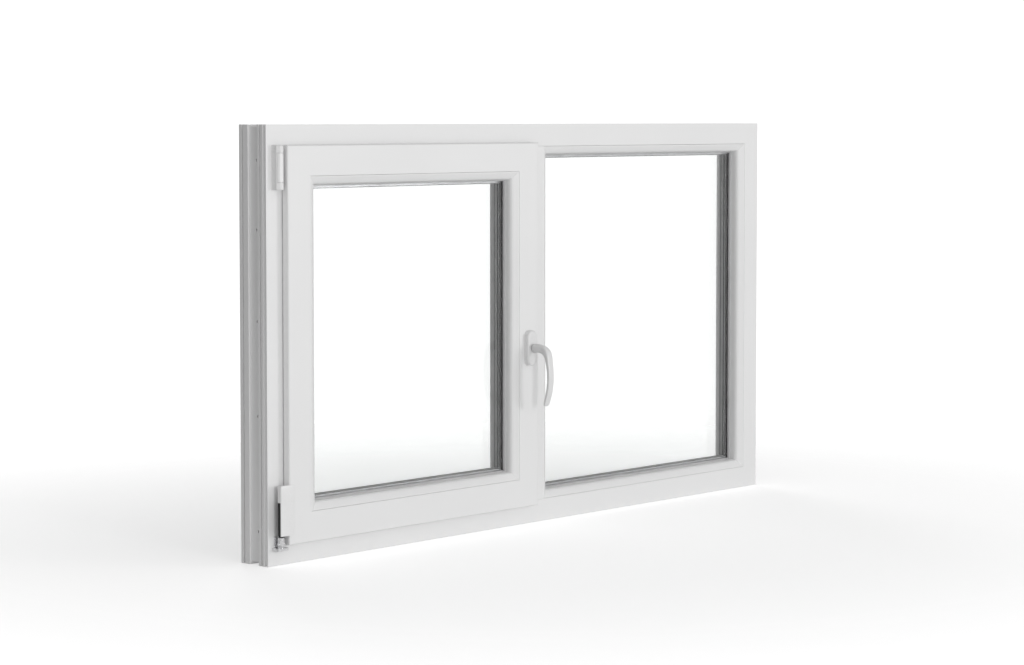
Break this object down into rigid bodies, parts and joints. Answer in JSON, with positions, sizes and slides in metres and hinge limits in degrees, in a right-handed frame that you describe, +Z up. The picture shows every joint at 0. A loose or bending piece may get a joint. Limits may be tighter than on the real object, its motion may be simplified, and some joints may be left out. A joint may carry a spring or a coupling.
{
  "type": "casement window",
  "caption": "White plastic window with an inward opening tilt and turn sash, lever handle and a fixed light beside it.",
  "frame": {"origin": "middle of the sill's underside, on the flat land that stands on the packers", "axes": "+X along the width from the hinge side to the fixed light as seen from the room, +Y towards the outdoors, +Z up"},
  "size_m": [1.4, 0.149, 0.77],
  "materials": {
    "profile": "white rigid plastic, satin to semi-gloss",
    "coated": "white powder coat",
    "cover": "white moulded plastic",
    "gasket": "matt light grey",
    "edge_seal": "dark sealant",
    "spacer": "mill finish",
    "glass": "clear float glass",
    "block": "moulded",
    "steel": "zinc plated",
    "zinc": "silver plated die-cast metal"
  },
  "bodies": {
    "frame": {"frame_head": "profile", "frame_sill": "profile", "frame_jamb_hinge_side": "profile", "frame_jamb_fixed_side": "profile", "frame_reinforcement": "steel", "mullion": "profile", "mullion_connectors": "zinc", "mullion_screws": "steel", "mullion_reinforcement": "steel", "fixed_bead_top": "profile", "fixed_bead_bottom": "profile", "fixed_bead_left": "profile", "fixed_bead_right": "profile", "fixed_glazing_gaskets": "gasket", "fixed_pane_inside": "glass", "fixed_pane_outside": "glass", "fixed_edge_seal": "edge_seal", "fixed_spacer": "spacer", "fixed_setting_blocks": "block", "frame_gasket": "gasket", "upper_hinge_bracket": "coated", "upper_hinge_pin": "steel", "corner_bearing": "zinc", "lock_keeps": "zinc", "drainage_caps": "cover"},
    "pivot": {"corner_pivot": "zinc"},
    "sash": {"sash_top_rail": "profile", "sash_bottom_rail": "profile", "sash_hinge_stile": "profile", "sash_lock_stile": "profile", "sash_reinforcement": "steel", "sash_bead_top": "profile", "sash_bead_bottom": "profile", "sash_bead_left": "profile", "sash_bead_right": "profile", "sash_glazing_gaskets": "gasket", "sash_pane_inside": "glass", "sash_pane_outside": "glass", "sash_edge_seal": "edge_seal", "sash_spacer": "spacer", "sash_setting_blocks": "block", "sash_overlap_gasket": "gasket", "corner_hinge": "zinc", "corner_hinge_cover": "cover", "lock_gearbox": "zinc", "lock_faceplates": "zinc", "handle_rosette": "coated", "handle_screws": "steel"},
    "stay": {"stay_arm": "zinc", "stay_arm_cover": "cover"},
    "handle": {"handle_lever": "coated", "handle_spindle": "steel", "handle_pinion": "steel"},
    "side_rod": {"side_lock_rod": "zinc"},
    "top_rod": {"top_lock_rod": "zinc"}
  },
  "joints": [
    {"name": "turn", "type": "hinge", "parent": "frame", "child": "pivot", "pos_m": [-0.6775, -0.063, 0.2], "axis": [0, 0, -1], "range_deg": [0, 90]},
    {"name": "tilt", "type": "hinge", "parent": "pivot", "child": "sash", "pos_m": [-0.6775, -0.063, 0.039], "axis": [1, 0, 0], "range_deg": [0, 8]},
    {"name": "stay_swing", "type": "hinge", "parent": "pivot", "child": "stay", "pos_m": [-0.6775, -0.063, 0.7], "axis": [0, 0, -1], "range_deg": [0, 18.3]},
    {"name": "handle_turn", "type": "hinge", "parent": "sash", "child": "handle", "pos_m": [-0.041, -0.07, 0.342], "axis": [0, 1, 0], "range_deg": [0, 180]},
    {"name": "side_rod_slide", "type": "slide", "parent": "sash", "child": "side_rod", "axis": [0, 0, -1], "range_m": [0, 0.022]},
    {"name": "top_rod_slide", "type": "slide", "parent": "sash", "child": "top_rod", "axis": [1, 0, 0], "range_m": [0, 0.022]}
  ],
  "couplings": [
    {"joint": "stay_swing", "follows": "tilt", "ratio": 2.27},
    {"joint": "side_rod_slide", "follows": "handle_turn", "m_per_rad": 0.007},
    {"joint": "top_rod_slide", "follows": "handle_turn", "m_per_rad": 0.007}
  ]
}
